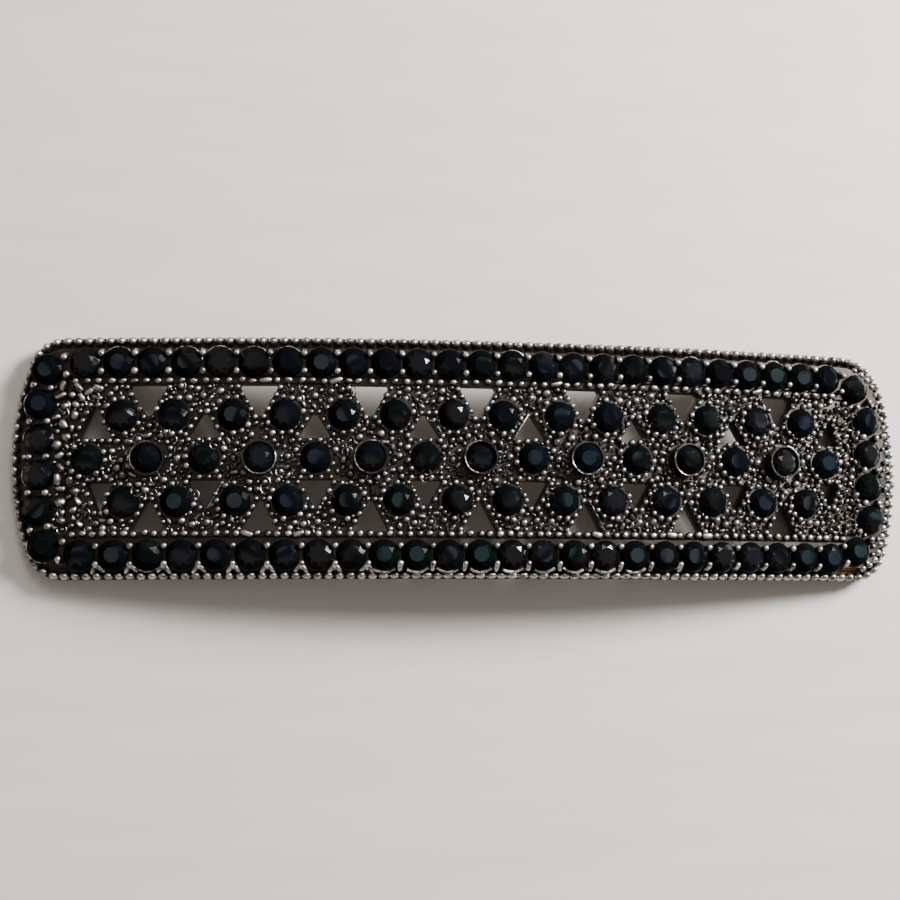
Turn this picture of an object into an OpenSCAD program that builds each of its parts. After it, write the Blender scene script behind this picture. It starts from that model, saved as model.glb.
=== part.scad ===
// Arched bar brooch: a cast, pierced bar with seven flowers and a border of cut black stones.
// Lengths are in millimetres. s runs along the arch, t across it and h is a height above the plate.

/* [Bar] */
// Radius of the arch, at the girdles of the stones
arch_r = 150; // [130:5:180]
// Length of the bar along its arch
bar_l = 73.1; // [73:0.1:75]
// Width of the bar
bar_w = 18.65; // [18.6:0.05:19.4]
// Thickness of the pierced plate
plate_t = 1.1; // [1:0.05:1.4]
// Radius of the bulge of each end, seen from above
end_bulge_r = 22; // [18:1:40]
// Corner radius, top left
corner_top_left = 2.8; // [2.5:0.1:4]
// Corner radius, top right
corner_top_right = 4.2; // [3:0.1:4.5]
// Corner radius, bottom left
corner_bottom_left = 3; // [2.5:0.1:4]
// Corner radius, bottom right
corner_bottom_right = 3.2; // [2.5:0.1:4]
// How far the stones sit to the left of the bar's middle
field_shift = 0.3; // [0:0.05:0.4]

/* [Border] */
// Width of the low outer ledge that carries the edge beading
ledge_w = 0.9; // [0.88:0.01:1]
// Height of the ledge's top above the plate, negative is below it
ledge_h = -0.55; // [-0.7:0.05:-0.4]
// Distance of the stone rows from the bar's long middle line
row_t = 7.38; // [7.3:0.01:7.4]
// How far the two rows are moved down together, towards the lower edge
row_drop = 0.12; // [0:0.01:0.15]
// Place along the arch of the first stone of each row
row_start = -30.6; // [-30.7:0.05:-30.4]
// Pitch of the border stones at the left, where they are set wider
row_pitch_left = 2.59; // [2.56:0.01:2.62]
// Pitch of the rest of the border stones
row_pitch_right = 2.49; // [2.48:0.01:2.5]
// How far the upper row is moved to the right of the lower one
upper_row_shift = 0.15; // [0:0.05:0.2]
// Outer radius of the cup under a border stone
cup_r = 1.27; // [1.24:0.01:1.3]
// Height of the cups above the plate
cup_h = 0.35; // [0.3:0.05:0.4]
// Distance of the inner beaded rail from the bar's long middle line
rail_t = 5.9; // [5.88:0.01:5.92]
// Width of the inner beaded rail
rail_w = 0.4; // [0.38:0.02:0.42]

/* [Flowers] */
// Pitch of the seven flowers
flower_pitch = 8.5; // [8.45:0.01:8.55]
// Sideways distance of an upper or lower petal from its flower's middle
petal_s = 1.99; // [1.95:0.01:2.05]
// Distance of an upper or lower petal from the bar's long middle line
petal_t = 3.31; // [3.25:0.01:3.35]
// How far the first side petal, at the left end, sits off its even place
first_petal_off = -0.45; // [-0.5:0.05:0]
// How far the last side petal, at the right end, sits off its even place
last_petal_off = -0.1; // [-0.3:0.05:0]
// How far the flowers' line is turned in the bar, counterclockwise, in degrees
flower_turn = 0.4; // [0:0.05:0.5]
// Sideways lean of the upper petals
upper_lean = -0.1; // [-0.15:0.01:0]
// Sideways lean of the lower petals
lower_lean = 0.16; // [0:0.01:0.2]
// Outer radius of the collar round a petal stone
collar_r = 1.38; // [1.34:0.01:1.42]
// Height of the petal collars above the plate
collar_h = 0.4; // [0.3:0.05:0.4]
// Outer radius of the smooth bezel ring in the middle of a flower
bezel_r = 1.33; // [1.32:0.01:1.38]
// Wall of the bezel ring
bezel_wall = 0.12; // [0.1:0.01:0.13]
// Height of the bezel ring above the plate
bezel_h = 1.12; // [1:0.02:1.2]

/* [Gaps] */
// Width of the raised rim round each gap
rim_w = 0.26; // [0.2:0.02:0.3]
// Height of that rim above the plate
rim_h = 0.2; // [0.1:0.02:0.25]

/* [Stones] */
// Radius of a border or petal stone at its girdle
stone_r = 1.18; // [1.1:0.01:1.18]
// Radius of a flower's middle stone
centre_r = 1.15; // [1.1:0.01:1.16]
// Radius of the flat table on top, as a share of the girdle's
table_share = 0.52; // [0.45:0.01:0.6]
// Height of the crown, from girdle to table
crown_h = 0.42; // [0.35:0.01:0.5]
// Depth of the pavilion, from girdle to point
pavilion_d = 0.95; // [0.85:0.01:1]
// Height of the girdles above the plate
girdle_h = 0.55; // [0.5:0.01:0.6]
// Extra height of the middle stone of a flower
centre_rise = 0.4; // [0.3:0.01:0.45]
// The flower whose middle stone has sunk in its bezel, 0 for none
sunk_flower = 4; // [0:1:7]
// How far that stone has sunk
sunk_d = 0.24; // [0:0.01:0.3]
// Most that a stone is tipped in its seat, in degrees
tip_max = 2.5; // [0:0.1:3]
// Radius of a prong between two border stones
prong_r = 0.2; // [0.18:0.01:0.21]
// Distance of the prongs from the line through the border stones
prong_off = 0.68; // [0.67:0.01:0.72]

/* [Pin back] */
// Width of the strip that carries the pin
strip_w = 2.8; // [2.4:0.1:2.8]
// Thickness of the strip
strip_t = 0.6; // [0.5:0.05:0.8]
// Distance of the hinge block and of the catch from the bar's middle, along the arch
fitting_s = 19.5; // [17:0.5:21]
// Diameter of the pin
pin_d = 0.9; // [0.8:0.05:1]
// Height of the pin's axis above the surface that the brooch lies on
pin_z = 1.25; // [1.2:0.05:1.35]

/* [Hidden] */
$fn = 32;
flowers = 7;
row_stones = 25;
wide_stones = 7;
column_stones = 4;
upper = 1;
lower = -1;

plate_r = arch_r - girdle_h;
half_l = bar_l / 2;
half_w = bar_w / 2;
// The ends are flat underneath, ground by this much where the bar stands on them
end_flat = 0.25;
// Height of the arch's axis over the surface that the bar stands on
axis_z = -((plate_r - plate_t) * cos(deg(half_l)) + end_flat);
// Seats keep this much room for the glue under a stone
glue = 0.08;
girdle_t = 0.06;
// The tangent planes in which the ends are drawn touch the arch here
end_s = 33;
// Cutting shapes reach this far past what they cut
cut_deep = 4;
// Each corner's outline starts outside the bar, on a straight this long, so that it crosses the side
run_up = 2;

// The stones at the ends, as [s, t] of the corner stones and of the middle of each column
corner_at = [[-33.4, -6.78], [32.4, -6.92], [32.8, 6.62], [-33.4, 6.76]];
column_right_at = [33.9, -0.18];
column_left_at = [-33.9, 0];
column_pitch = 2.74;

// The bar under the border stones: how far it stands back from the outline, and its inner edges
bar_inset = 1.05;
bar_inner_t = 6.25;
bar_inner_s = 32.2;
bar_h = 0.28;
rail_h = 0.24;
rail_end_s = 31.6;
// Raised rails and bars start this much below the plate's top, and bosses this much
sink = 0.1;
boss_foot = 0.8;

// Seats end in a small flat and open this much wider than the stone
seat_point_r = 0.05;
seat_mouth_room = 0.02;
// The straight bore of a bezel starts this much below the girdle
bezel_step = 0.2;
prong_h = 0.8;
// Radius of the corners between star facets and kites, as a share of the girdle's
star_share = 0.76;

// Pin back: how far the strip runs past its fittings, the hinge block, the catch and the pin's point
strip_end = 3;
block_l = 2.4;
block_w = 2.2;
block_drop = 0.75;
catch_l = 1.8;
catch_r = 1.05;
catch_room = 0.15;
catch_post_w = 1;
pin_point_l = 2.4;
pin_point_r = 0.08;

function deg(s) = s / arch_r * 180 / PI;

// Places of stones, as [s, t] on the arch
function turned_up(s) = s * tan(flower_turn);
function flower_s(i) = (i - (flowers + 1) / 2) * flower_pitch - field_shift;
function flower_at(i) = [flower_s(i), turned_up(flower_s(i))];
function side_petal_at(i) =
    let (
        off = i == 1 ? first_petal_off : i == flowers + 1 ? last_petal_off : 0,
        s = (i - flowers / 2 - 1) * flower_pitch + off - field_shift
    )
    [s, turned_up(s)];
function outer_petal_at(k, side) =
    let (
        way = k % 2 == 1 ? -1 : 1,
        s = flower_s(ceil(k / 2)) + way * petal_s + (side == upper ? upper_lean : lower_lean)
    )
    [s, side * petal_t + turned_up(s)];

function row_at(k, side) =
    let (wide = min(k, wide_stones), shift = side == upper ? upper_row_shift : 0)
    [row_start + shift + wide * row_pitch_left + (k - wide) * row_pitch_right, side * row_t - row_drop];
function column_at(k, middle) = middle + [0, (k - (column_stones - 1) / 2) * column_pitch];

// The closed border, counterclockwise from the bottom left corner
border_at = [
    for (p = concat(
        [corner_at[0]],
        [for (k = [0 : row_stones - 1]) row_at(k, lower)],
        [corner_at[1]],
        [for (k = [0 : column_stones - 1]) column_at(k, column_right_at)],
        [corner_at[2]],
        [for (k = [row_stones - 1 : -1 : 0]) row_at(k, upper)],
        [corner_at[3]],
        [for (k = [column_stones - 1 : -1 : 0]) column_at(k, column_left_at)]
    ))
    p - [field_shift, 0]
];

petals_at = concat(
    [for (i = [1 : flowers + 1]) side_petal_at(i)],
    [for (k = [1 : 2 * flowers]) outer_petal_at(k, upper)],
    [for (k = [1 : 2 * flowers]) outer_petal_at(k, lower)]
);

function centre_girdle(i) = girdle_h + centre_rise - (i == sunk_flower ? sunk_d : 0);

// Each gap is a triangle with its corners cut off, from the middle of its flower or side petal:
// [base left s, base right s, base t, tip s, tip t, cut at the base, cut at the tip]
gap_above_flower = [-1.7, 1.54, 5.65, -0.04, 2.75, 0.25, 0.45];
gap_below_flower = [-1.5, 1.46, -5.75, 0.06, -3.05, 0.15, 0.3];
gap_above_petal = [-1.4, 1.32, 1.45, -0.04, 3.65, 0.2, 0.3];
gap_below_petal = [-1.32, 1.4, -1.72, 0.05, -4.1, 0.2, 0.3];
gap_left_above = [-0.9, 1.9, 1.4, 0.5, 4.3, 0.2, 0.4];
gap_left_below = [-0.15, 2.1, -1.9, 0.9, -4.5, 0.2, 0.3];
gap_right_above = [-0.75, 1.4, 1.7, 0.75, 4.1, 0.2, 0.3];
gap_right_below = [-0.7, 1.3, -1.4, 0.45, -3.6, 0.2, 0.3];

// Every gap with the place along the arch that it is measured from: [s, gap]
all_gaps = concat(
    [for (i = [1 : flowers]) [flower_s(i), gap_above_flower]],
    [for (i = [1 : flowers]) [flower_s(i), gap_below_flower]],
    [for (i = [2 : flowers]) [side_petal_at(i)[0], gap_above_petal]],
    [for (i = [2 : flowers]) [side_petal_at(i)[0], gap_below_petal]],
    [[side_petal_at(1)[0], gap_left_above], [side_petal_at(1)[0], gap_left_below]],
    [[side_petal_at(flowers + 1)[0], gap_right_above], [side_petal_at(flowers + 1)[0], gap_right_below]]
);

function along(a, b, d) = a + (b - a) * d / norm(b - a);
function gap_points(g) =
    let (l = [g[0], g[2]], r = [g[1], g[2]], tip = [g[3], g[4]])
    [along(l, tip, g[5]), along(l, r, g[5]), along(r, l, g[5]), along(r, tip, g[5]),
     along(tip, r, g[6]), along(tip, l, g[6])];

// The same polygon with every side moved outwards by d
function turned_left(v) = [-v[1], v[0]] / norm(v);
function way_round(p) = cross(p[1] - p[0], p[2] - p[1]) > 0 ? 1 : -1;
function meet(a, u, b, v) = a + u * cross(b - a, v) / cross(u, v);
function widened(p, d) =
    let (n = len(p), side = -d * way_round(p))
    [for (i = [0 : n - 1])
        let (a = p[(i + n - 1) % n], b = p[i], c = p[(i + 1) % n])
        meet(a + turned_left(b - a) * side, b - a, b + turned_left(c - b) * side, c - b)];

// Puts children on the arch, with their Z standing up from the plate's top
module on_arch(s, t = 0) {
    translate([0, 0, axis_z]) rotate([0, deg(s), 0]) translate([0, t, plate_r]) children();
}

// A band of the arch between two heights, from t1 to t2 across
module band(h1, h2, t1, t2, s = half_l + cut_deep / 4) {
    translate([0, 0, axis_z])
        rotate([90, 0, 0])
            rotate_extrude(start = 90 - deg(s), angle = 2 * deg(s), $fn = 720)
                translate([plate_r + h1, -t2])
                    square([h2 - h1, t2 - t1]);
}

// Points of one rounded end, seen from above, inset from the bar's outline. s is from end_s on
function fillet_x(r, inset) =
    half_l - end_s - end_bulge_r + sqrt(pow(end_bulge_r - r, 2) - pow(half_w - r, 2));
function corner_arc(r, inset, side) =
    let (
        cx = fillet_x(r, inset),
        cy = half_w - r,
        bulge_x = half_l - end_s - end_bulge_r,
        last = atan2(cy, cx - bulge_x),
        steps = 10,
        first = 90 + (last - 90) / steps
    )
    concat(
        [[cx + (r - inset) * cos(first) - run_up * sin(first),
          side * (cy + (r - inset) * sin(first) + run_up * cos(first))]],
        [for (k = [1 : steps])
            let (a = 90 + (last - 90) * k / steps)
            [cx + (r - inset) * cos(a), side * (cy + (r - inset) * sin(a))]]
    );
function bulge_arc(r_top, r_bottom, inset) =
    let (
        bulge_x = half_l - end_s - end_bulge_r,
        top = atan2(half_w - r_top, fillet_x(r_top, inset) - bulge_x),
        bottom = -atan2(half_w - r_bottom, fillet_x(r_bottom, inset) - bulge_x),
        steps = 12
    )
    [for (k = [1 : steps - 1])
        let (a = top + (bottom - top) * k / steps)
        [bulge_x + (end_bulge_r - inset) * cos(a), (end_bulge_r - inset) * sin(a)]];
function reversed(p) = [for (i = [len(p) - 1 : -1 : 0]) p[i]];
function end_outline(r_top, r_bottom, inset) = concat(
    corner_arc(r_top, inset, 1),
    bulge_arc(r_top, r_bottom, inset),
    reversed(corner_arc(r_bottom, inset, -1))
);

// What lies outside one end's outline, to be cut away
module beyond_end(side, inset) {
    r_top = side == 1 ? corner_top_right : corner_top_left;
    r_bottom = side == 1 ? corner_bottom_right : corner_bottom_left;
    outline = end_outline(r_top, r_bottom, inset);
    first = outline[0];
    last = outline[len(outline) - 1];
    out_to = 2 * cut_deep;
    on_arch(side * end_s)
        translate([0, 0, -cut_deep])
            linear_extrude(2 * cut_deep)
                mirror([side == 1 ? 0 : 1, 0])
                    polygon(concat(
                        outline,
                        [[last[0], -bar_w], [out_to, -bar_w], [out_to, bar_w], [first[0], bar_w]]
                    ));
}

// A layer of the bar with the bar's rounded outline, inset from it
module layer(h1, h2, inset) {
    difference() {
        band(h1, h2, -half_w + inset, half_w - inset);
        beyond_end(-1, inset);
        beyond_end(1, inset);
    }
}

// One gap's outline, widened by d, from height h1 to height h2
module gap_cut(g, d = 0, h1 = -2 * plate_t, h2 = 2 * rim_h) {
    on_arch(g[0])
        translate([0, 0, h1])
            linear_extrude(h2 - h1)
                polygon(d == 0 ? gap_points(g[1]) : widened(gap_points(g[1]), d));
}

// The raised bar under the border stones
module border_bar() {
    difference() {
        layer(-sink, bar_h, bar_inset);
        band(-2 * sink, bar_h + sink, -bar_inner_t, bar_inner_t, bar_inner_s);
    }
}

// A round boss that stands up from the plate by h, for a cup, collar or bezel
module boss(r, h) {
    translate([0, 0, -boss_foot]) cylinder(h = h + boss_foot, r = r);
}

// A round pit that follows a stone's pavilion, a layer of glue below it
module seat(r, girdle) {
    mouth_r = r + seat_mouth_room;
    translate([0, 0, girdle - girdle_t / 2 - glue - pavilion_d])
        cylinder(h = (mouth_r - seat_point_r) * pavilion_d / r, r1 = seat_point_r, r2 = mouth_r);
}

// The two prongs between neighbouring border stones p and q
module prong_pair(p, q) {
    mid = (p + q) / 2;
    across = turned_left(q - p) * prong_off;
    for (place = [mid - across, mid + across])
        on_arch(place[0], place[1])
            translate([0, 0, -sink]) cylinder(h = prong_h + sink, r = prong_r, $fn = 8);
}

module frame() {
    color("silver")
    difference() {
        union() {
            difference() {
                union() {
                    layer(-plate_t, 0, ledge_w);
                    layer(-plate_t, ledge_h, 0);
                    border_bar();
                    for (t = [-rail_t, rail_t])
                        band(-sink, rail_h, t - rail_w / 2, t + rail_w / 2, rail_end_s);
                    for (g = all_gaps) gap_cut(g, rim_w, -3 * sink, rim_h);
                }
                for (g = all_gaps) gap_cut(g);
            }
            for (p = border_at) on_arch(p[0], p[1]) boss(cup_r, cup_h);
            for (p = petals_at) on_arch(p[0], p[1]) boss(collar_r, collar_h);
            for (i = [1 : flowers]) on_arch(flower_at(i)[0], flower_at(i)[1]) boss(bezel_r, bezel_h);
            for (k = [0 : len(border_at) - 1]) prong_pair(border_at[k], border_at[(k + 1) % len(border_at)]);
        }
        for (p = concat(border_at, petals_at)) on_arch(p[0], p[1]) seat(stone_r, girdle_h);
        for (i = [1 : flowers])
            on_arch(flower_at(i)[0], flower_at(i)[1]) {
                seat(centre_r, centre_girdle(i));
                translate([0, 0, centre_girdle(i) - bezel_step])
                    cylinder(h = bezel_h, r = bezel_r - bezel_wall);
            }
        translate([-bar_l, -bar_w, -bar_w]) cube([2 * bar_l, 2 * bar_w, bar_w]);
    }
}

// A round cut stone, its girdle's middle at the origin: table, 8 star facets, 8 kites, 16 upper
// girdle facets, the girdle itself and a 16-sided pavilion
module cut_stone(r) {
    table_r = r * table_share;
    star_r = r * star_share;
    table_z = girdle_t / 2 + crown_h;
    star_z = girdle_t / 2 + crown_h * (r - star_r * cos(22.5)) / (r - table_r);
    points = concat(
        [for (k = [0 : 7]) [table_r * cos(45 * k), table_r * sin(45 * k), table_z]],
        [for (k = [0 : 7]) [star_r * cos(45 * k + 22.5), star_r * sin(45 * k + 22.5), star_z]],
        [for (k = [0 : 15]) [r * cos(22.5 * k), r * sin(22.5 * k), girdle_t / 2]],
        [for (k = [0 : 15]) [r * cos(22.5 * k), r * sin(22.5 * k), -girdle_t / 2]],
        [[0, 0, -girdle_t / 2 - pavilion_d]]
    );
    star = 8;
    top = 16;
    low = 32;
    culet = 48;
    faces = concat(
        [[for (k = [7 : -1 : 0]) k]],
        [for (k = [0 : 7]) [k, (k + 1) % 8, star + k]],
        [for (k = [0 : 7]) [k, star + k, top + 2 * k, star + (k + 7) % 8]],
        [for (k = [0 : 7]) [star + k, top + 2 * k + 1, top + 2 * k]],
        [for (k = [0 : 7]) [star + k, top + (2 * k + 2) % 16, top + 2 * k + 1]],
        [for (k = [0 : 15]) [top + k, top + (k + 1) % 16, low + (k + 1) % 16, low + k]],
        [for (k = [0 : 15]) [low + k, low + (k + 1) % 16, culet]]
    );
    polyhedron(points, faces);
}

// Stone number k of the whole brooch, turned and tipped a little, as stones set by hand are
module set_stone(p, r, girdle, k) {
    color([0.05, 0.06, 0.08])
    on_arch(p[0], p[1])
        translate([0, 0, girdle])
            rotate([tip_max * sin(97 * k), tip_max * cos(61 * k), 37 * k])
                cut_stone(r);
}

module border_stones() {
    for (k = [0 : len(border_at) - 1]) set_stone(border_at[k], stone_r, girdle_h, k);
}
module centre_stone(i) {
    set_stone(flower_at(i), centre_r, centre_girdle(i), 100 + i);
}
module side_petal(i) {
    set_stone(side_petal_at(i), stone_r, girdle_h, 110 + i);
}
module upper_petal(k) {
    set_stone(outer_petal_at(k, upper), stone_r, girdle_h, 120 + k);
}
module lower_petal(k) {
    set_stone(outer_petal_at(k, lower), stone_r, girdle_h, 140 + k);
}

// The plain pin fitting on the back: a strip, a hinge block, the pin and an open catch in one piece
module pin_back() {
    strip_top_h = -plate_t - glue;
    strip_mid_r = plate_r + strip_top_h - strip_t / 2;
    fitting_x = strip_mid_r * sin(deg(fitting_s));
    fitting_top = strip_mid_r * cos(deg(fitting_s)) + axis_z;
    pin_l = 2 * fitting_x + catch_l;
    room_r = pin_d / 2 + catch_room;
    color("gainsboro")
    union() {
        band(strip_top_h - strip_t, strip_top_h, -strip_w / 2, strip_w / 2, fitting_s + strip_end);
        translate([-fitting_x - block_l / 2, -block_w / 2, pin_z - block_drop])
            cube([block_l, block_w, fitting_top - pin_z + block_drop]);
        translate([-fitting_x, 0, pin_z]) rotate([0, 90, 0]) {
            cylinder(h = pin_l, r = pin_d / 2);
            translate([0, 0, pin_l]) cylinder(h = pin_point_l, r1 = pin_d / 2, r2 = pin_point_r);
        }
        translate([fitting_x, 0, pin_z]) difference() {
            union() {
                rotate([0, 90, 0]) cylinder(h = catch_l, r = catch_r, center = true);
                translate([-catch_l / 2, -catch_post_w / 2, room_r + catch_room])
                    cube([catch_l, catch_post_w, fitting_top - pin_z - room_r - catch_room]);
            }
            rotate([0, 90, 0]) cylinder(h = 2 * catch_l, r = room_r, center = true);
            translate([-catch_l, 0, -room_r]) cube([2 * catch_l, 2 * catch_r, 2 * room_r]);
        }
    }
}

frame();
pin_back();
border_stones();
for (i = [1 : flowers])
    centre_stone(i);
for (i = [1 : flowers + 1])
    side_petal(i);
for (k = [1 : 2 * flowers])
    upper_petal(k);
for (k = [1 : 2 * flowers])
    lower_petal(k);
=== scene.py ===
# %% [markdown]
# # A flower brooch
# The brooch is one arched, pierced bar, cast in silver-coloured metal and blackened, with 105 cut
# black stones in it. The CAD model brings the bar, the stones and the pin on the back. What makes
# it look cast is smaller than that: rows of beads, grains like poppy seeds, and short wires. They
# are modelled here, and the metal and the glass get their finishes.

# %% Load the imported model
import math

import bmesh
import bpy
import numpy as np
from mathutils import Matrix, Vector


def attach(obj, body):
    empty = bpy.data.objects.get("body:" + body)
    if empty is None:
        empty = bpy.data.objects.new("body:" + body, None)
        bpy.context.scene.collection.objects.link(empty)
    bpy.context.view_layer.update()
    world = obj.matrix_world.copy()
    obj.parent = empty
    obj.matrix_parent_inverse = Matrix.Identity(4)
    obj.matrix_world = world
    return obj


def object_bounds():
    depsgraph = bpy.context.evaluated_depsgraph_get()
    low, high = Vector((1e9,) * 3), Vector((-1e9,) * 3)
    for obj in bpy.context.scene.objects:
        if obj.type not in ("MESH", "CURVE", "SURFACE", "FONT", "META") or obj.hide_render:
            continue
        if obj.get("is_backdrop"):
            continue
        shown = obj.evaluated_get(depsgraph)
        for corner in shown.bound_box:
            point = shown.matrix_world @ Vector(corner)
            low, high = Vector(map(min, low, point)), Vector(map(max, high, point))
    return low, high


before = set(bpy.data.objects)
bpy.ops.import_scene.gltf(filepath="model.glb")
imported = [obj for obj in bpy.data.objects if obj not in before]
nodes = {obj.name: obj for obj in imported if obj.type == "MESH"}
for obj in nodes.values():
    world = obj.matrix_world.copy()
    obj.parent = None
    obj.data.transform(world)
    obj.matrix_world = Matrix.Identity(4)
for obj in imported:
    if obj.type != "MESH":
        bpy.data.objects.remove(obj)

MM = 0.001
cad_low, cad_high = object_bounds()
print("CAD nodes:", len(nodes), "- size in mm:", [round(v / MM, 2) for v in cad_high - cad_low])

# %% [markdown]
# ## The camera
# The photo was taken from close by, with a phone held level and a little to the left. The camera
# stands where the stones of the model fall on the stones of the photo. It comes first, because
# every later choice is judged through it.

# %% Camera
CAMERA_AT = Vector((-23.1, -14.0, 126.782)) * MM
CAMERA_TURN = Vector((-0.1182, 0.1667, -0.0049))
LENS_MM = 64.0

bpy.ops.object.select_all(action="DESELECT")
bpy.ops.object.camera_add(location=CAMERA_AT)
camera = bpy.context.object
camera.name = "photo_camera"
camera.data.lens = LENS_MM
camera.data.sensor_width = 36.0
camera.data.clip_start = 0.005
camera.data.clip_end = 5.0
seen_from = Matrix.Rotation(CAMERA_TURN.length, 3, CAMERA_TURN.normalized()).transposed()
camera.matrix_world = Matrix.Translation(CAMERA_AT) @ seen_from.to_4x4()
bpy.context.scene.camera = camera
print("camera", [round(v / MM, 1) for v in camera.location], "lens", camera.data.lens)

# %% [markdown]
# ## Places on the arch
# The bar is bent to a radius of 150 mm, so nothing on it is flat. A maker would cast it flat and
# bend it over a mandrel. Here each place is given as on the flat bar: s along it, t across it and
# h above the plate, all in millimetres. One function bends them onto the arch.

# %% The arch
ARCH_R = 150.0
GIRDLE_H = 0.55
PLATE_T = 1.1
PLATE_R = ARCH_R - GIRDLE_H
HALF_L = 73.1 / 2
HALF_W = 18.65 / 2
END_FLAT = 0.25
AXIS_Z = -((PLATE_R - PLATE_T) * math.cos(HALF_L / ARCH_R) + END_FLAT)


def bend(s, t, h):
    """Places on the flat bar, in mm, as points on the arch, in metres."""
    s, t, h = np.broadcast_arrays(s, t, h)
    reach = PLATE_R + h
    return np.stack([reach * np.sin(s / ARCH_R), t, reach * np.cos(s / ARCH_R) + AXIS_Z], axis=-1) * MM


print("arch axis at z =", round(AXIS_Z, 3), "mm; top of the plate at", round(bend(0, 0, 0)[2] / MM, 3), "mm")

# %% [markdown]
# ## Where the stones sit
# The seven flowers share their side petals: each flower has a middle stone, two petals above, two
# below, and one at each side. The border is a closed row of 62. These are the places of the CAD
# model, which the fine work has to go round.

# %% Stone places
FIELD_SHIFT = 0.3
FLOWERS = 7
FLOWER_PITCH = 8.5
PETAL_S, PETAL_T = 1.99, 3.31
UPPER_LEAN, LOWER_LEAN = -0.1, 0.16
END_PETAL_OFF = {1: -0.45, FLOWERS + 1: -0.1}
FLOWER_TURN = math.tan(math.radians(0.4))
ROW_T, ROW_DROP = 7.38, 0.12
ROW_START = -30.6
UPPER_ROW_SHIFT = 0.15
ROW_STONES = 25
WIDE_STONES = 7
WIDE_PITCH, CLOSE_PITCH = 2.59, 2.49
CORNERS = ((-33.4, -6.78), (32.4, -6.92), (32.8, 6.62), (-33.4, 6.76))
RIGHT_COLUMN, LEFT_COLUMN = (33.9, -0.18), (-33.9, 0.0)
COLUMN_PITCH = 2.74


def flower_s(i):
    """Place along the bar of flower i, counted from 1 at the left."""
    return (i - (FLOWERS + 1) / 2) * FLOWER_PITCH - FIELD_SHIFT


def side_petal_s(i):
    """Place along the bar of the side petal i, counted from 1 at the left."""
    return (i - FLOWERS / 2 - 1) * FLOWER_PITCH + END_PETAL_OFF.get(i, 0) - FIELD_SHIFT


def row(side):
    """The stones of a border row from left to right, side 1 for the upper row and -1 for the lower."""
    k = np.arange(ROW_STONES)
    wide = np.minimum(k, WIDE_STONES)
    s = ROW_START + wide * WIDE_PITCH + (k - wide) * CLOSE_PITCH + (UPPER_ROW_SHIFT if side == 1 else 0)
    return np.column_stack([s, np.full(ROW_STONES, side * ROW_T - ROW_DROP)])


def column(middle):
    """The four stones of an end's column, from below."""
    return np.array([(middle[0], middle[1] + (k - 1.5) * COLUMN_PITCH) for k in range(4)])


def turned(places):
    """Places of the flowers, which stand on a line that is turned a little in the bar."""
    places = np.array(places)
    places[:, 1] += places[:, 0] * FLOWER_TURN
    return places


border = np.concatenate([
    CORNERS[:1], row(-1), CORNERS[1:2], column(RIGHT_COLUMN), CORNERS[2:3], row(1)[::-1], CORNERS[3:],
    column(LEFT_COLUMN)[::-1],
]) - (FIELD_SHIFT, 0)
centres = turned([(flower_s(i), 0.0) for i in range(1, FLOWERS + 1)])
petals = turned(
    [(side_petal_s(i), 0.0) for i in range(1, FLOWERS + 2)]
    + [(s + way * PETAL_S + UPPER_LEAN, PETAL_T) for s, _ in centres for way in (-1, 1)]
    + [(s + way * PETAL_S + LOWER_LEAN, -PETAL_T) for s, _ in centres for way in (-1, 1)]
)
print("stones:", len(border), "in the border,", len(centres), "in the middles,", len(petals), "petals")

# %% [markdown]
# ## The gaps
# Thirty openings are cut through the bar, each a triangle with its corners cut off. The grains
# keep off them, so their outlines are needed here too: base corners, tip, and how much is cut off
# at the base and the tip.

# %% Gap outlines
GAP_RIM_W = 0.26
FLOWER_GAPS = (
    (-1.7, 1.54, 5.65, -0.04, 2.75, 0.25, 0.45),
    (-1.5, 1.46, -5.75, 0.06, -3.05, 0.15, 0.3),
)
PETAL_GAPS = (
    (-1.4, 1.32, 1.45, -0.04, 3.65, 0.2, 0.3),
    (-1.32, 1.4, -1.72, 0.05, -4.1, 0.2, 0.3),
)
LEFT_GAPS = ((-0.9, 1.9, 1.4, 0.5, 4.3, 0.2, 0.4), (-0.15, 2.1, -1.9, 0.9, -4.5, 0.2, 0.3))
RIGHT_GAPS = ((-0.75, 1.4, 1.7, 0.75, 4.1, 0.2, 0.3), (-0.7, 1.3, -1.4, 0.45, -3.6, 0.2, 0.3))


def gap_outline(at_s, gap):
    """The six corners of one gap, counterclockwise."""
    left_s, right_s, base_t, tip_s, tip_t, base_cut, tip_cut = gap
    left, right, tip = (np.array(p, float) for p in ((left_s, base_t), (right_s, base_t), (tip_s, tip_t)))

    def along(a, b, distance):
        return a + (b - a) * distance / np.linalg.norm(b - a)

    corners = [
        along(left, tip, base_cut), along(left, right, base_cut), along(right, left, base_cut),
        along(right, tip, base_cut), along(tip, right, tip_cut), along(tip, left, tip_cut),
    ]
    if base_t > tip_t:
        corners.reverse()
    return np.array(corners) + (at_s, 0)


gaps = [gap_outline(s, gap) for s, _ in centres for gap in FLOWER_GAPS]
gaps += [gap_outline(side_petal_s(i), gap) for i in range(2, FLOWERS + 1) for gap in PETAL_GAPS]
gaps += [gap_outline(side_petal_s(1), gap) for gap in LEFT_GAPS]
gaps += [gap_outline(side_petal_s(FLOWERS + 1), gap) for gap in RIGHT_GAPS]


def outward(a, b):
    """The unit vector that points out of a counterclockwise outline, at its side from a to b."""
    along = (b - a) / np.linalg.norm(b - a)
    return np.array((along[1], -along[0]))


def gap_distance(places):
    """How far each place lies from the nearest gap, negative inside it."""
    nearest = np.full(len(places), np.inf)
    for corners in gaps:
        sides = [(places - a) @ outward(a, b) for a, b in zip(corners, np.roll(corners, -1, axis=0))]
        nearest = np.minimum(nearest, np.max(sides, axis=0))
    return nearest


print("gaps:", len(gaps))

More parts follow.
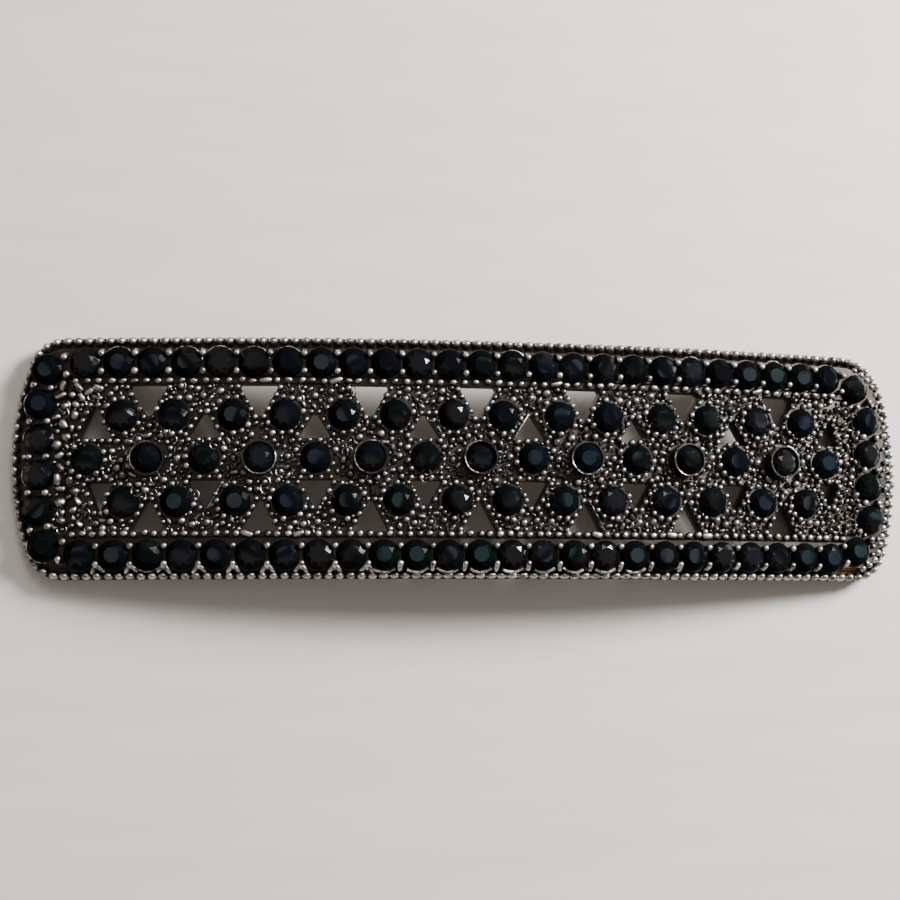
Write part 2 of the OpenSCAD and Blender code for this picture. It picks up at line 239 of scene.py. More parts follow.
# %% [markdown]
# ## Masters
# A caster's wax is dressed with tiny balls and wires, and the same few shapes come back hundreds
# of times. So each is modelled once, on the millimetre scale, and copied. A ball could be
# a smooth sphere, but with hundreds of them a coarse one with a cut-off foot is enough: the light
# shows a bead by its one bright spot, not by its outline.

# %% Tools for the masters
def start_clean():
    """Leaves edit mode and deselects everything."""
    if bpy.context.mode != "OBJECT":
        bpy.ops.object.mode_set(mode="OBJECT")
    bpy.ops.object.select_all(action="DESELECT")


def pick(test):
    """In edit mode, selects the vertices whose place passes the test, and nothing else."""
    mesh = bmesh.from_edit_mesh(bpy.context.object.data)
    for vertex in mesh.verts:
        vertex.select = test(vertex.co)
    mesh.select_flush(True)
    mesh.select_flush(False)
    bmesh.update_edit_mesh(bpy.context.object.data)


def take_shape(name):
    """Ends the modelling of a master, and returns its vertices and faces."""
    bpy.ops.mesh.select_all(action="SELECT")
    bpy.ops.mesh.remove_doubles(threshold=1e-4)
    bpy.ops.mesh.normals_make_consistent(inside=False)
    bpy.ops.object.mode_set(mode="OBJECT")
    bpy.ops.object.transform_apply(location=True, rotation=True, scale=True)
    mesh = bpy.context.object.data
    points = np.array([v.co for v in mesh.vertices])
    faces = [tuple(f.vertices) for f in mesh.polygons]
    bpy.data.meshes.remove(mesh)
    print(name, "master:", len(points), "vertices,", len(faces), "faces")
    return points, faces


# %% Bead
BEAD_FOOT = -0.35

start_clean()
bpy.ops.mesh.primitive_ico_sphere_add(subdivisions=2, radius=1)
bpy.ops.object.mode_set(mode="EDIT")
bpy.ops.mesh.bisect(plane_co=(0, 0, BEAD_FOOT), plane_no=(0, 0, 1), use_fill=True, clear_inner=True)
BEAD = take_shape("bead")

# %% [markdown]
# The prongs on the outer side of the border aren't round. They run down over the skirt and spread
# there like a foot, so a ball is drawn out on one side, bent down and flared at its end.

# %% Drop
start_clean()
bpy.ops.mesh.primitive_ico_sphere_add(subdivisions=2, radius=1)
bpy.ops.object.mode_set(mode="EDIT")
pick(lambda co: co.x > 0.2)
bpy.ops.transform.translate(value=(0.8, 0, -0.25))
bpy.ops.transform.resize(value=(1, 0.7, 0.8), center_override=(1.2, 0, -0.25))
pick(lambda co: co.x > 1.2)
bpy.ops.transform.resize(value=(1, 2.4, 0.7), center_override=(1.2, 0, -0.5))
bpy.ops.transform.translate(value=(1.1, 0, -0.35))
DROP = take_shape("drop")

# %% [markdown]
# Wires are bent from one profile, flat underneath where it is soldered on. The profile is spun
# round a centre: all the way for a ring, and part of the way for a scroll. Spin goes clockwise, so an
# arc ends where its copy is turned to, less its angle.

# %% Bent wires
def bent_wire(name, radius, thickness, steps, angle=2 * math.pi, sides=6):
    """A wire with a flat foot, bent round the vertical axis."""
    start_clean()
    bpy.ops.mesh.primitive_circle_add(
        vertices=sides, radius=thickness, location=(radius, 0, 0), rotation=(math.pi / 2, 0, 0)
    )
    bpy.ops.object.transform_apply(location=True, rotation=True, scale=True)
    bpy.ops.object.mode_set(mode="EDIT")
    pick(lambda co: co.z < -0.6 * thickness)
    bpy.ops.transform.resize(value=(1.2, 1, 0.5), center_override=(radius, 0, 0))
    bpy.ops.mesh.select_all(action="SELECT")
    bpy.ops.mesh.spin(steps=steps, angle=angle, center=(0, 0, 0), axis=(0, 0, 1))
    bpy.ops.mesh.select_all(action="SELECT")
    bpy.ops.mesh.remove_doubles(threshold=1e-4)
    bpy.ops.mesh.select_all(action="SELECT")
    bpy.ops.mesh.fill_holes(sides=sides)
    return take_shape(name)


ARC_ANGLE = math.radians(120)
CRESCENT_ANGLE = math.radians(74)
CUP_ARC = bent_wire("cup arc", radius=1.26, thickness=0.055, steps=14, angle=ARC_ANGLE)
CRESCENT = bent_wire("crescent", radius=1.34, thickness=0.12, steps=12, angle=CRESCENT_ANGLE)
BEZEL_ARC = bent_wire("bezel arc", radius=1.28, thickness=0.045, steps=24, angle=math.radians(170))
GRAIN_RING = bent_wire("grain ring", radius=0.4, thickness=0.055, steps=16, sides=5)
SCROLL = bent_wire("scroll", radius=0.5, thickness=0.05, steps=12, angle=math.radians(200), sides=5)

# %% [markdown]
# ## Laying the copies
# Each copy has nine numbers: its place s, t and h, its half length, half width and half height,
# an extra length that draws a bead out into a wire, how far it dips, and which way it is turned.
# Instances would be lighter, but the finished piece has to be a plain mesh, so the arrays of all
# the copies are joined at once. Every copy gets its own small lumps. Two attributes go with the
# points. The crest runs from the foot of a grain to its top, and starts higher on what stands free
# and is rubbed all round. On the edge beads that higher start is also painted light: it keeps the
# beads bright where they lie in the bar's own shade. The tone is one number for each grain, from
# clean at 0 to dull at 1.

# %% Copies
random = np.random.default_rng(11)
SMOOTH_ANGLE = math.radians(50)


def rows(s, t, h, length, width=None, height=None, extra=0.0, dip=0.0, turn=0.0):
    """Rows of nine numbers for lay(), each argument one value or an array."""
    width = length if width is None else width
    height = length if height is None else height
    return np.stack(np.broadcast_arrays(s, t, h, length, width, height, extra, dip, turn), axis=-1)


def lay(name, batches, what, lumps=0.03, dull=(0.0, 0.6), rubbed=0.0):
    """One mesh with a copy of a master for each row of each batch, riding on the brooch."""
    points, faces, crests, tones = [], [], [], []
    start = 0
    for (shape, shape_faces), table in batches:
        table = np.asarray(table, float).reshape(-1, 9)
        s, t, h, length, width, height, extra, dip, turn = (c[:, None] for c in table.T)
        uneven_skin = 1 + random.uniform(-lumps, lumps, (3, len(table), len(shape)))
        x = shape[:, 0] * length * uneven_skin[0] + np.sign(shape[:, 0]) * extra / 2
        y = shape[:, 1] * width * uneven_skin[1]
        z = shape[:, 2] * height * uneven_skin[2]
        x, z = x * np.cos(dip) + z * np.sin(dip), z * np.cos(dip) - x * np.sin(dip)
        x, y = x * np.cos(turn) - y * np.sin(turn), x * np.sin(turn) + y * np.cos(turn)
        a = s / ARCH_R
        reach = PLATE_R + h + z
        place = [reach * np.sin(a) + x * np.cos(a), t + y, reach * np.cos(a) - x * np.sin(a) + AXIS_Z]
        points.append(np.stack(place, axis=-1).reshape(-1, 3) * MM)
        low, high = shape[:, 2].min(), shape[:, 2].max()
        crest = rubbed + (1 - rubbed) * (shape[:, 2] - low) / (high - low)
        crests.append(np.tile(crest, len(table)))
        tones.append(np.repeat(random.uniform(*dull, len(table)), len(shape)))
        for _ in table:
            faces += [tuple(start + v for v in face) for face in shape_faces]
            start += len(shape)
    mesh = bpy.data.meshes.new(name)
    mesh.from_pydata(np.concatenate(points).tolist(), [], faces)
    for label, values in (("crest", crests), ("tone", tones)):
        attribute = mesh.attributes.new(label, "FLOAT", "POINT")
        attribute.data.foreach_set("value", np.concatenate(values).astype(np.float32))
    piece = bpy.data.objects.new(name, mesh)
    bpy.context.scene.collection.objects.link(piece)
    start_clean()
    piece.select_set(True)
    bpy.context.view_layer.objects.active = piece
    bpy.ops.object.shade_smooth_by_angle(angle=SMOOTH_ANGLE)
    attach(piece, "root")
    copies = sum(np.size(table) // 9 for _, table in batches)
    triangles = sum(len(face.vertices) - 2 for face in mesh.polygons)
    print(name + ":", copies, what + ",", triangles, "triangles")
    return piece


# %% [markdown]
# ## The outline
# The bar's corners are round, each with its own radius, and both ends bulge a little. So each
# corner is drawn with the half of the bulge beside it, as two arcs that touch. The beads of the edge
# and of the gaps are set along such lines at an even pitch.

# %% Outline and spacing
BULGE_R = 22.0
CORNER_R = {"top left": 2.8, "top right": 4.2, "bottom left": 3.0, "bottom right": 3.2}
CORNER_STEPS = 16


def corner(radius, inset):
    """One corner and half of the bulge beside it, from the corner's start to the end's middle."""
    bulge_s = HALF_L - BULGE_R
    corner_s = bulge_s + math.sqrt((BULGE_R - radius) ** 2 - (HALF_W - radius) ** 2)
    meet = math.atan2(HALF_W - radius, corner_s - bulge_s)
    a = np.linspace(math.pi / 2, meet, CORNER_STEPS)
    b = np.linspace(meet, 0, CORNER_STEPS)[1:]
    corner_r, bulge_r = radius - inset, BULGE_R - inset
    round_part = np.stack([corner_s + corner_r * np.cos(a), HALF_W - radius + corner_r * np.sin(a)], axis=1)
    bulge_part = np.stack([bulge_s + bulge_r * np.cos(b), bulge_r * np.sin(b)], axis=1)
    return np.concatenate([round_part, bulge_part])


def bar_outline(inset):
    """The bar's outline, moved inwards, clockwise from the top right corner."""
    top_right = corner(CORNER_R["top right"], inset)
    bottom_right = corner(CORNER_R["bottom right"], inset)[::-1][1:] * (1, -1)
    bottom_left = corner(CORNER_R["bottom left"], inset) * (-1, -1)
    top_left = corner(CORNER_R["top left"], inset)[::-1][1:] * (-1, 1)
    return np.concatenate([top_right, bottom_right, bottom_left, top_left])


def spaced(path, pitch, closed=True):
    """Places at an even pitch along a path, and the direction of the path at each."""
    if closed:
        path = np.concatenate([path, path[:1]])
    steps = np.diff(path, axis=0)
    length = np.concatenate([[0], np.cumsum(np.linalg.norm(steps, axis=1))])
    count = round(length[-1] / pitch)
    at = np.linspace(0, length[-1], count, endpoint=not closed)
    places = np.stack([np.interp(at, length, path[:, k]) for k in (0, 1)], axis=1)
    step = np.clip(np.searchsorted(length, at, side="right") - 1, 0, len(steps) - 1)
    return places, np.arctan2(steps[step, 1], steps[step, 0])


print("outline:", len(bar_outline(0)), "points, with corners of", list(CORNER_R.values()), "mm")

# %% [markdown]
# ## The beaded edge
# A row of beads runs round the bar on a low ledge, a bead every 0.84 mm. On such castings it comes
# from beaded wire that was laid round the wax. The beads differ a little in size and place, and
# that is kept, because even ones look machined. In the middle of the lower edge they have run
# together, and round the right end a finer row lies inside the first.

# %% Edge beading
EDGE_INSET = 0.29
EDGE_PITCH = 0.84
EDGE_BEAD = (0.4, 0.35, 0.66)
EDGE_LIFT = 0.17
LOWER_EDGE_T = -8.5
MERGED_S = (-8.5, 14.5)
MERGED_LENGTH, MERGED_WIDTH = 1.25, 0.85
SECOND_INSET = 0.95
SECOND_PITCH = 0.68
SECOND_R = 0.31
LEDGE_H = -0.55
ROUND_RIGHT_END = slice(4, 58)


def uneven(count, spread):
    """Factors round 1, one for each of count copies."""
    return 1 + random.uniform(-spread, spread, count)


def below(places, t, from_s, to_s):
    """Which places lie below t, and between two places along the bar."""
    return (places[:, 1] < t) & (places[:, 0] > from_s) & (places[:, 0] < to_s)


edge, edge_turn = spaced(bar_outline(EDGE_INSET), EDGE_PITCH)
count = len(edge)
edge_rows = rows(
    edge[:, 0], edge[:, 1], LEDGE_H + EDGE_LIFT,
    *(half * uneven(count, spread) for half, spread in zip(EDGE_BEAD, (0.07, 0.05, 0.08))), turn=edge_turn,
)
run_together = below(edge, LOWER_EDGE_T, *MERGED_S)
edge_rows[run_together, 3] *= MERGED_LENGTH
edge_rows[run_together, 4] *= MERGED_WIDTH
second, second_turn = spaced(bar_outline(SECOND_INSET)[ROUND_RIGHT_END], SECOND_PITCH, closed=False)
second_r = SECOND_R * uneven(len(second), 0.15)
second_rows = rows(second[:, 0], second[:, 1], 0.0, second_r, height=0.5, turn=second_turn)
both_rows = [(BEAD, edge_rows), (BEAD, second_rows)]
# The higher crest start here is partly wear and partly painted light, which lifts the beads that lie in the
# bar's shade.
edge_beading = lay("edge_beading", both_rows, "beads", dull=(0, 0.4), rubbed=0.55)

# %% [markdown]
# ## The inner rails
# Between the border and the flowers runs a raised rail with beads on it. They are ovals, set wider
# on the upper rail than on the lower one, and now and then two have run together in the casting.

# %% Rail beading
RAIL_T = 5.9
RAIL_H = 0.24
RAIL_ENDS = (-31.5, 31.2)
RAIL_BEAD_LIFT = 0.08
RAIL_BEAD_HEIGHT = 0.27
PAIRED_SHARE = 0.07
PAIRED_BY = 0.45


def rail_rows(t, pitch, length, width):
    """The beads of one rail."""
    s = np.arange(RAIL_ENDS[0], RAIL_ENDS[1], pitch)
    count = len(s)
    s = s + random.normal(0, 0.05, count)
    paired = np.where(random.random(count) < PAIRED_SHARE, PAIRED_BY, 0.0)
    return rows(
        s, t + random.normal(0, 0.03, count), RAIL_H + RAIL_BEAD_LIFT, length * uneven(count, 0.15),
        width * uneven(count, 0.12), RAIL_BEAD_HEIGHT, paired, turn=random.normal(0, 0.25, count),
    )


upper_rail = rail_rows(RAIL_T, pitch=0.91, length=0.33, width=0.26)
lower_rail = rail_rows(-RAIL_T, pitch=0.78, length=0.3, width=0.29)
both_rails = [(BEAD, upper_rail), (BEAD, lower_rail)]
rail_beading = lay("rail_beading", both_rails, "beads", lumps=0.06, dull=(0, 0.4))

# %% [markdown]
# ## Prongs
# Neighbouring border stones share two prongs. After the stones went in, each prong was pushed over
# and rounded with a cupped tool. The inner ones end in a round head, and the outer ones run down
# to the edge as a drop.

# %% Prong heads
PRONG_OFF = 0.68
PRONG_TOP = 0.8
INNER_HEAD_R, OUTER_HEAD_R = 0.27, 0.26
INNER_SINK, OUTER_SINK = 0.04, 0.1
DROP_DIP = math.radians(38)

ahead = np.roll(border, -1, axis=0) - border
ahead /= np.linalg.norm(ahead, axis=1)[:, None]
inward = np.stack([-ahead[:, 1], ahead[:, 0]], axis=1)
between = (border + np.roll(border, -1, axis=0)) / 2
inner = between + inward * PRONG_OFF
outer = between - inward * PRONG_OFF
count = len(border)
inner_rows = rows(inner[:, 0], inner[:, 1], PRONG_TOP - INNER_SINK, INNER_HEAD_R * uneven(count, 0.12))
outward_turn = np.arctan2(-inward[:, 1], -inward[:, 0]) + random.normal(0, 0.12, count)
outer_rows = rows(
    outer[:, 0], outer[:, 1], PRONG_TOP - OUTER_SINK, OUTER_HEAD_R * uneven(count, 0.1),
    dip=DROP_DIP, turn=outward_turn,
)
print("prongs:", count, "inner and", count, "outer")

# %% [markdown]
# The outer prongs of the lower row differ. At the left each forks into two legs, and in the middle
# it is drawn out into a teardrop. Both are beads, stretched and tilted down over the skirt.

# %% Legs and teardrops
LOWER_PRONGS_T = -8.0
FORKED_TO = -9.0
LEG_SPREAD = math.radians(38)
LEG_DIP = math.radians(32)
LEG_LENGTH, LEG_WIDTH, LEG_HEIGHT = 0.48, 0.2, 0.26
LEG_H = 0.3
TEARDROPS_TO = 16.0
TEARDROP_DIP = math.radians(35)
TEARDROP_LENGTH, TEARDROP_WIDTH, TEARDROP_HEIGHT = 0.4, 0.23, 0.32
TEARDROP_OUT = 0.24
TEARDROP_H = 0.42

forked = below(outer, LOWER_PRONGS_T, -HALF_L, FORKED_TO)
feet = []
for side in (-1, 1):
    turn = outward_turn[forked] + side * LEG_SPREAD
    way = np.stack([np.cos(turn), np.sin(turn)], axis=1)
    leg = outer[forked] + LEG_LENGTH * way
    feet.append(rows(
        leg[:, 0], leg[:, 1], LEG_H, LEG_LENGTH * uneven(len(leg), 0.1), LEG_WIDTH, LEG_HEIGHT,
        dip=LEG_DIP, turn=turn,
    ))
drawn = below(outer, LOWER_PRONGS_T, FORKED_TO, TEARDROPS_TO)
feet.append(rows(
    outer[drawn, 0], outer[drawn, 1] - TEARDROP_OUT, TEARDROP_H,
    TEARDROP_LENGTH * uneven(drawn.sum(), 0.08), TEARDROP_WIDTH, TEARDROP_HEIGHT,
    dip=TEARDROP_DIP, turn=outward_turn[drawn],
))
heads = [(BEAD, inner_rows), (DROP, outer_rows), *((BEAD, foot) for foot in feet)]
prong_heads = lay("prong_heads", heads, "heads", dull=(0, 0.2), rubbed=0.3)

# %% [markdown]
# ## Rings
# The border stones sit in cups. Their rims show as thin arcs towards the edge, where the polishing
# cloth reached them, at about a third of the stones. Below those in the middle of the lower row the
# rims are pressed out into bright crescents. The middle stone of each flower sits in a smooth bezel
# instead. Its lip was rubbed over the stone, and shines where it was rubbed last.

# %% Setting rings
CUP_H = 0.35
CUP_RIM_TALL = 1.6
CRESCENT_H = 0.4
BEZEL_H = 1.12
LIP_SINK = 0.03
ARC_SHARE = 0.3
LOWER_ROW_T = -7.0

outside = -(inward + np.roll(inward, 1, axis=0))
arc_start = np.arctan2(outside[:, 1], outside[:, 0]) + ARC_ANGLE / 2
pressed = below(border, LOWER_ROW_T, *MERGED_S)
shown = (random.random(len(border)) < ARC_SHARE) & ~pressed
cup_rows = rows(
    border[shown, 0], border[shown, 1], CUP_H, uneven(shown.sum(), 0.012), height=CUP_RIM_TALL,
    turn=arc_start[shown] + random.normal(0, 0.3, shown.sum()),
)
crescent_rows = rows(
    border[pressed, 0], border[pressed, 1], CRESCENT_H, 1.0,
    turn=(CRESCENT_ANGLE - math.pi) / 2 + random.normal(0, 0.08, pressed.sum()),
)
arcs = [(CUP_ARC, cup_rows), (CRESCENT, crescent_rows)]
setting_rings = lay("setting_rings", arcs, "arcs", dull=(0, 0.3), rubbed=0.75)
lip_rows = rows(
    centres[:, 0], centres[:, 1], BEZEL_H - LIP_SINK, uneven(FLOWERS, 0.012), uneven(FLOWERS, 0.012),
    1.0, dip=random.normal(0, 0.012, FLOWERS), turn=random.uniform(0, 2 * math.pi, FLOWERS),
)
bezel_lips = lay("bezel_lips", [(BEZEL_ARC, lip_rows)], "arcs", rubbed=0.5)

# %% [markdown]
# ## Grains
# The ground between the stones is covered with grains, so that no plain metal shows. The largest
# sit at set places round each flower's middle. Others line the gaps and ring the petals, and the
# smallest fill what is left. Each new grain has to find room among those that are there, as it
# would under the tweezers, so places are tried at random from large grains to small. A grain may
# reach a little over a stone's seat, a rail or a gap, so only a share of its radius is kept clear.

# %% Room for a grain
PETAL_ROOM = 1.16
BEZEL_ROOM = 1.36
CUP_ROOM = 1.24
FIELD_T = RAIL_T - 0.2
FIELD_S = (-33.0, 32.7)
BAR_INNER_S = 32.2
BAR_H = 0.28
COLLAR_R = 1.38
COLLAR_H = 0.4
GAP_RIM_H = 0.2
CLEAR_OF_STONE, CLEAR_OF_RAIL, CLEAR_OF_GAP = 0.8, 0.7, 0.55
DOME_LIFT = 0.3

grains = np.empty((0, 3))


def clear_of_stones(places, radius):
    """Which places are far enough from every stone for a grain of this radius."""
    ok = np.ones(len(places), bool)
    for stones, room in ((petals, PETAL_ROOM), (centres, BEZEL_ROOM), (border, CUP_ROOM)):
        away = np.linalg.norm(places[:, None] - stones[None], axis=2).min(axis=1)
        ok &= away > room + CLEAR_OF_STONE * radius
    return ok


def in_field(places, radius):
    """Which places lie on the ground between the rails, off the stones and the gaps."""
    ok = (np.abs(places[:, 1]) < FIELD_T - CLEAR_OF_RAIL * radius) & clear_of_stones(places, radius)
    ok &= (places[:, 0] > FIELD_S[0]) & (places[:, 0] < FIELD_S[1])
    return ok & (gap_distance(places) > CLEAR_OF_GAP * radius)


def ground(places):
    """Height of the frame's top under each place."""
    near_petal = np.linalg.norm(places[:, None] - petals[None], axis=2).min(axis=1)
    height = np.where(gap_distance(places) < GAP_RIM_W, GAP_RIM_H, 0.0)
    height = np.where((places[:, 0] < -BAR_INNER_S) | (places[:, 0] > BAR_INNER_S), BAR_H, height)
    return np.where(near_petal < COLLAR_R, COLLAR_H, height)


def settle(places, radius, closeness=0.9):
    """Adds the places that find room among the grains, one after another, and returns them."""
    global grains
    added = []
    for place, r in zip(places, np.broadcast_to(radius, len(places))):
        distance = np.hypot(grains[:, 0] - place[0], grains[:, 1] - place[1])
        if np.all(distance > (grains[:, 2] + r) * closeness):
            grains = np.vstack([grains, (*place, r)])
            added.append((*place, r))
    return np.array(added).reshape(-1, 3)


def dome_rows(settled, tall=1.25):
    """Beads that stand in the ground, as rows for lay()."""
    places, radius = settled[:, :2], settled[:, 2]
    h = ground(places) + DOME_LIFT * radius
    return rows(places[:, 0], places[:, 1], h, radius, height=tall * radius)


print("room for grains: s in", FIELD_S, "and t up to", FIELD_T, "mm")


# %% [markdown]
# The largest grains come first, at the places that were read off the middle flowers, each a
# little off its place. About a third of them have a ring of wire.

# %% Large grains
LARGE_R = 0.33
LARGE_PLACES = np.array([
    (-0.85, 1.75), (0.85, 1.8), (-0.76, -1.82), (1.3, -1.7), (-2.75, 0.65), (-2.15, -0.1), (2.2, 0.15),
    (2.85, 0.75), (-3.1, 5.1), (-3.1, 4.35), (2.9, 4.75), (-2.8, -4.9), (2.6, -4.75), (3.4, -5.0),
    (-3.95, -4.9), (4.1, 4.9),
])
LARGE_DRIFT = 0.1
RINGED_SHARE = 0.35
RING_LIFT = 0.12

large = (centres[:, None] + LARGE_PLACES[None]).reshape(-1, 2)
large = large + random.normal(0, LARGE_DRIFT, large.shape)
large = large[in_field(large, LARGE_R)]
large = settle(large, LARGE_R * uneven(len(large), 0.12))
ringed = large[random.random(len(large)) < RINGED_SHARE]
ring_h = ground(ringed[:, :2]) + RING_LIFT
ring_rows = rows(ringed[:, 0], ringed[:, 1], ring_h, uneven(len(ringed), 0.08), height=1.0)
large_rows = dome_rows(large, tall=1.2)
large_grains = lay("large_grains", [(BEAD, large_rows), (GRAIN_RING, ring_rows)], "grains and rings")

# %% [markdown]
# The sides of each gap carry a short row of grains, and a few slanted ones a smooth wire instead.
# The wires are beads that are drawn out along the side. The sides next to a rail stay bare, because
# the rail has its own beads.

# %% Gap borders
SIDE_OFF = 0.15
SIDE_BEAD_R = 0.23
SIDE_PITCH = 0.53
WIRE_R = 0.08
WIRE_LIFT = 0.04
WIRE_SHARE = 0.1
SLANTED_BY = 1.0
SHORTEST_SIDE = 0.9
RAIL_SIDE_T = 5.0

side_beads, side_wires = [], []
for corners in gaps:
    for a, b in zip(corners, np.roll(corners, -1, axis=0)):
        length = np.linalg.norm(b - a)
        if length < SHORTEST_SIDE or min(abs(a[1]), abs(b[1])) > RAIL_SIDE_T:
            continue
        places, turn = spaced(np.array([a, b]) + outward(a, b) * SIDE_OFF, SIDE_PITCH, closed=False)
        places = places[clear_of_stones(places, SIDE_BEAD_R)]
        if len(places) < 2:
            continue
        if abs(a[1] - b[1]) > SLANTED_BY and random.random() < WIRE_SHARE:
            middle, reach = places.mean(axis=0), np.linalg.norm(places[-1] - places[0])
            side_wires.append(rows(*middle, GAP_RIM_H + WIRE_LIFT, WIRE_R, extra=reach, turn=turn[0]))
            grains = np.vstack([grains, np.column_stack([places, np.full(len(places), WIRE_R)])])
        else:
            radii = SIDE_BEAD_R * uneven(len(places), 0.18)
            side_beads.append(settle(places, radii, closeness=0.8))
side_beads = np.concatenate(side_beads)
gap_borders = lay(
    "gap_borders", [(BEAD, dome_rows(side_beads)), (BEAD, np.array(side_wires))], "beads and wires",
    lumps=0.09,
)

# %% [markdown]
# Each petal stone is held by a ring of grains on its collar. They were raised from the collar with
# a graver and rounded, which is why they lean on the stone's edge.

# %% Petal beads
PETAL_RING_R = 1.4
PETAL_BEAD_R = 0.25
PETAL_BEAD_TALL = 1.1
PETAL_BEADS = 13

ring_places = []
for petal in petals:
    angle = random.uniform(0, 2 * math.pi) + np.linspace(0, 2 * math.pi, PETAL_BEADS, endpoint=False)
    ring_places.append(petal + PETAL_RING_R * np.stack([np.cos(angle), np.sin(angle)], axis=1))
ring_places = np.concatenate(ring_places)
ring_places = ring_places[clear_of_stones(ring_places, PETAL_BEAD_R)]
petal_ring = settle(ring_places, PETAL_BEAD_R * uneven(len(ring_places), 0.2))
petal_rows = rows(
    petal_ring[:, 0], petal_ring[:, 1], COLLAR_H, petal_ring[:, 2],
    height=PETAL_BEAD_TALL * petal_ring[:, 2],
)
petal_beads = lay("petal_beads", [(BEAD, petal_rows)], "beads", lumps=0.08)

# %% [markdown]
# The rest is filled from medium grains down to the smallest, and they get coarser towards the left
# end. Some are drawn out into short bars that lie any way, as where two balls of solder ran together.

# %% Filling
FILL_RADII = (0.29, 0.25, 0.21, 0.17, 0.14, 0.11)
COARSE_TO = -24.0
COARSE_BY = 0.45
BAR_SHARE = 0.35
BAR_THINNER = 0.7
BAR_EXTRA = (0.6, 1.3)
TRIES = 6000

filling = []
for radius in FILL_RADII:
    tried = random.uniform((FIELD_S[0], -FIELD_T), (FIELD_S[1], FIELD_T), (TRIES, 2))
    tried = tried[in_field(tried, radius)]
    coarser = 1 + COARSE_BY * np.clip((COARSE_TO - tried[:, 0]) / (COARSE_TO - FIELD_S[0]), 0, 1)
    radii = radius * coarser * uneven(len(tried), 0.15)
    filling.append(settle(tried, radii, closeness=0.92))
filling = np.concatenate(filling)
fill_rows = dome_rows(filling)
bars = random.random(len(filling)) < BAR_SHARE
fill_rows[bars, 3:5] *= BAR_THINNER
fill_rows[bars, 6] = filling[bars, 2] * random.uniform(*BAR_EXTRA, bars.sum())
fill_rows[:, 3] *= uneven(len(filling), 0.2)
fill_rows[:, 8] = random.uniform(0, math.pi, len(filling))
print("filling:", len(filling), "grains,", bars.sum(), "of them bars")

# %% [markdown]
# At both ends a narrow band outside the end stones has grains too. The bar's outline is round there,
# so a line is drawn from each tried place to the right. It crosses the outline an odd number of
# times if the place lies inside.

# %% Grains outside the end stones
BAND_INSET = 1.2
BAND_GRAIN_R = 0.2


def inside(places, outline):
    """Which places lie inside a closed outline."""
    crossings = np.zeros(len(places), int)
    for a, b in zip(outline, np.roll(outline, -1, axis=0)):
        if a[1] != b[1]:
            passed = (a[1] > places[:, 1]) != (b[1] > places[:, 1])
            at_s = a[0] + (places[:, 1] - a[1]) * (b[0] - a[0]) / (b[1] - a[1])
            crossings += passed & (places[:, 0] < at_s)
    return crossings % 2 == 1


band = random.uniform((-HALF_L, -HALF_W), (HALF_L, HALF_W), (TRIES, 2))
band = band[inside(band, bar_outline(BAND_INSET)) & (np.abs(band[:, 0]) > FIELD_S[1])]
band = band[clear_of_stones(band, BAND_GRAIN_R)]
band_rows = dome_rows(settle(band, BAND_GRAIN_R * uneven(len(band), 0.2)))

coarse = filling[:, 0] < COARSE_TO
field_grains = lay("field_grains", [(BEAD, fill_rows[~coarse])], "grains", lumps=0.14, dull=(0.45, 1))
end_grains = lay("end_grains", [(BEAD, fill_rows[coarse]), (BEAD, band_rows)], "grains", lumps=0.14)

# %% [markdown]
# Thin scrolls of wire curl round some of the grains and stand a little above them, where they
# catch the light as fine arcs.

# %% Scrolls
SCROLL_COUNT = 330
SCROLL_LIFT = 0.3
SCROLL_SIZES = (0.5, 0.9)
SMALLEST_RINGED = 0.12

scroll_at = filling[filling[:, 2] > SMALLEST_RINGED]
scroll_at = scroll_at[random.permutation(len(scroll_at))[:SCROLL_COUNT]]
size = random.uniform(*SCROLL_SIZES, len(scroll_at))
scroll_rows = rows(
    scroll_at[:, 0], scroll_at[:, 1], ground(scroll_at[:, :2]) + SCROLL_LIFT, size, height=1.0,
    turn=random.uniform(0, 2 * math.pi, len(scroll_at)),
)
wire_scrolls = lay("wire_scrolls", [(SCROLL, scroll_rows)], "scrolls", dull=(0.2, 1), rubbed=0.4)

# %% [markdown]
# ## Finishes
# Colours are given as on a screen, as hex values, and one function turns them to the linear
# numbers that Blender computes with. Another adds a node with its settings, its links and, for a
# colour ramp, its stops.

# %% Tools for the materials
def colour(hex_value):
    """An sRGB hex colour as linear RGBA."""
    channels = [int(hex_value[k : k + 2], 16) / 255 for k in (1, 3, 5)]
    return [c / 12.92 if c <= 0.04045 else ((c + 0.055) / 1.055) ** 2.4 for c in channels] + [1.0]


def add(tree, kind, inputs=None, stops=(), **settings):
    """Adds a node. Its inputs are given as values, or as the sockets that they are linked to."""
    node = tree.nodes.new(kind)
    for name, value in settings.items():
        setattr(node, name, value)
    for name, value in (inputs or {}).items():
        if isinstance(value, bpy.types.NodeSocket):
            tree.links.new(value, node.inputs[name])
        else:
            node.inputs[name].default_value = value
    for k, (at, hex_value) in enumerate(stops):
        stop = node.color_ramp.elements[k] if k < 2 else node.color_ramp.elements.new(at)
        stop.position = at
        stop.color = colour(hex_value)
    return node


def new_material(name):
    """A node material, its tree and shader, and the object coordinates that its patterns go by."""
    material = bpy.data.materials.new(name)
    material.use_nodes = True
    tree = material.node_tree
    place = add(tree, "ShaderNodeTexCoord").outputs["Object"]
    return material, tree, tree.nodes["Principled BSDF"], place


# %% [markdown]
# ### Antique silver on the casting
# The bar is a cheap white metal with a silver-coloured plating, blackened in a bath and rubbed
# bright again. The black stays wherever a cloth can't reach, so height above the plate decides the
# colour. The height is the distance from the arch's axis, which object coordinates give. Stains of
# about a millimetre break it up, and a finer noise gives the bump of the cast skin. One spot low on
# the right end is worn down to a warm metal.

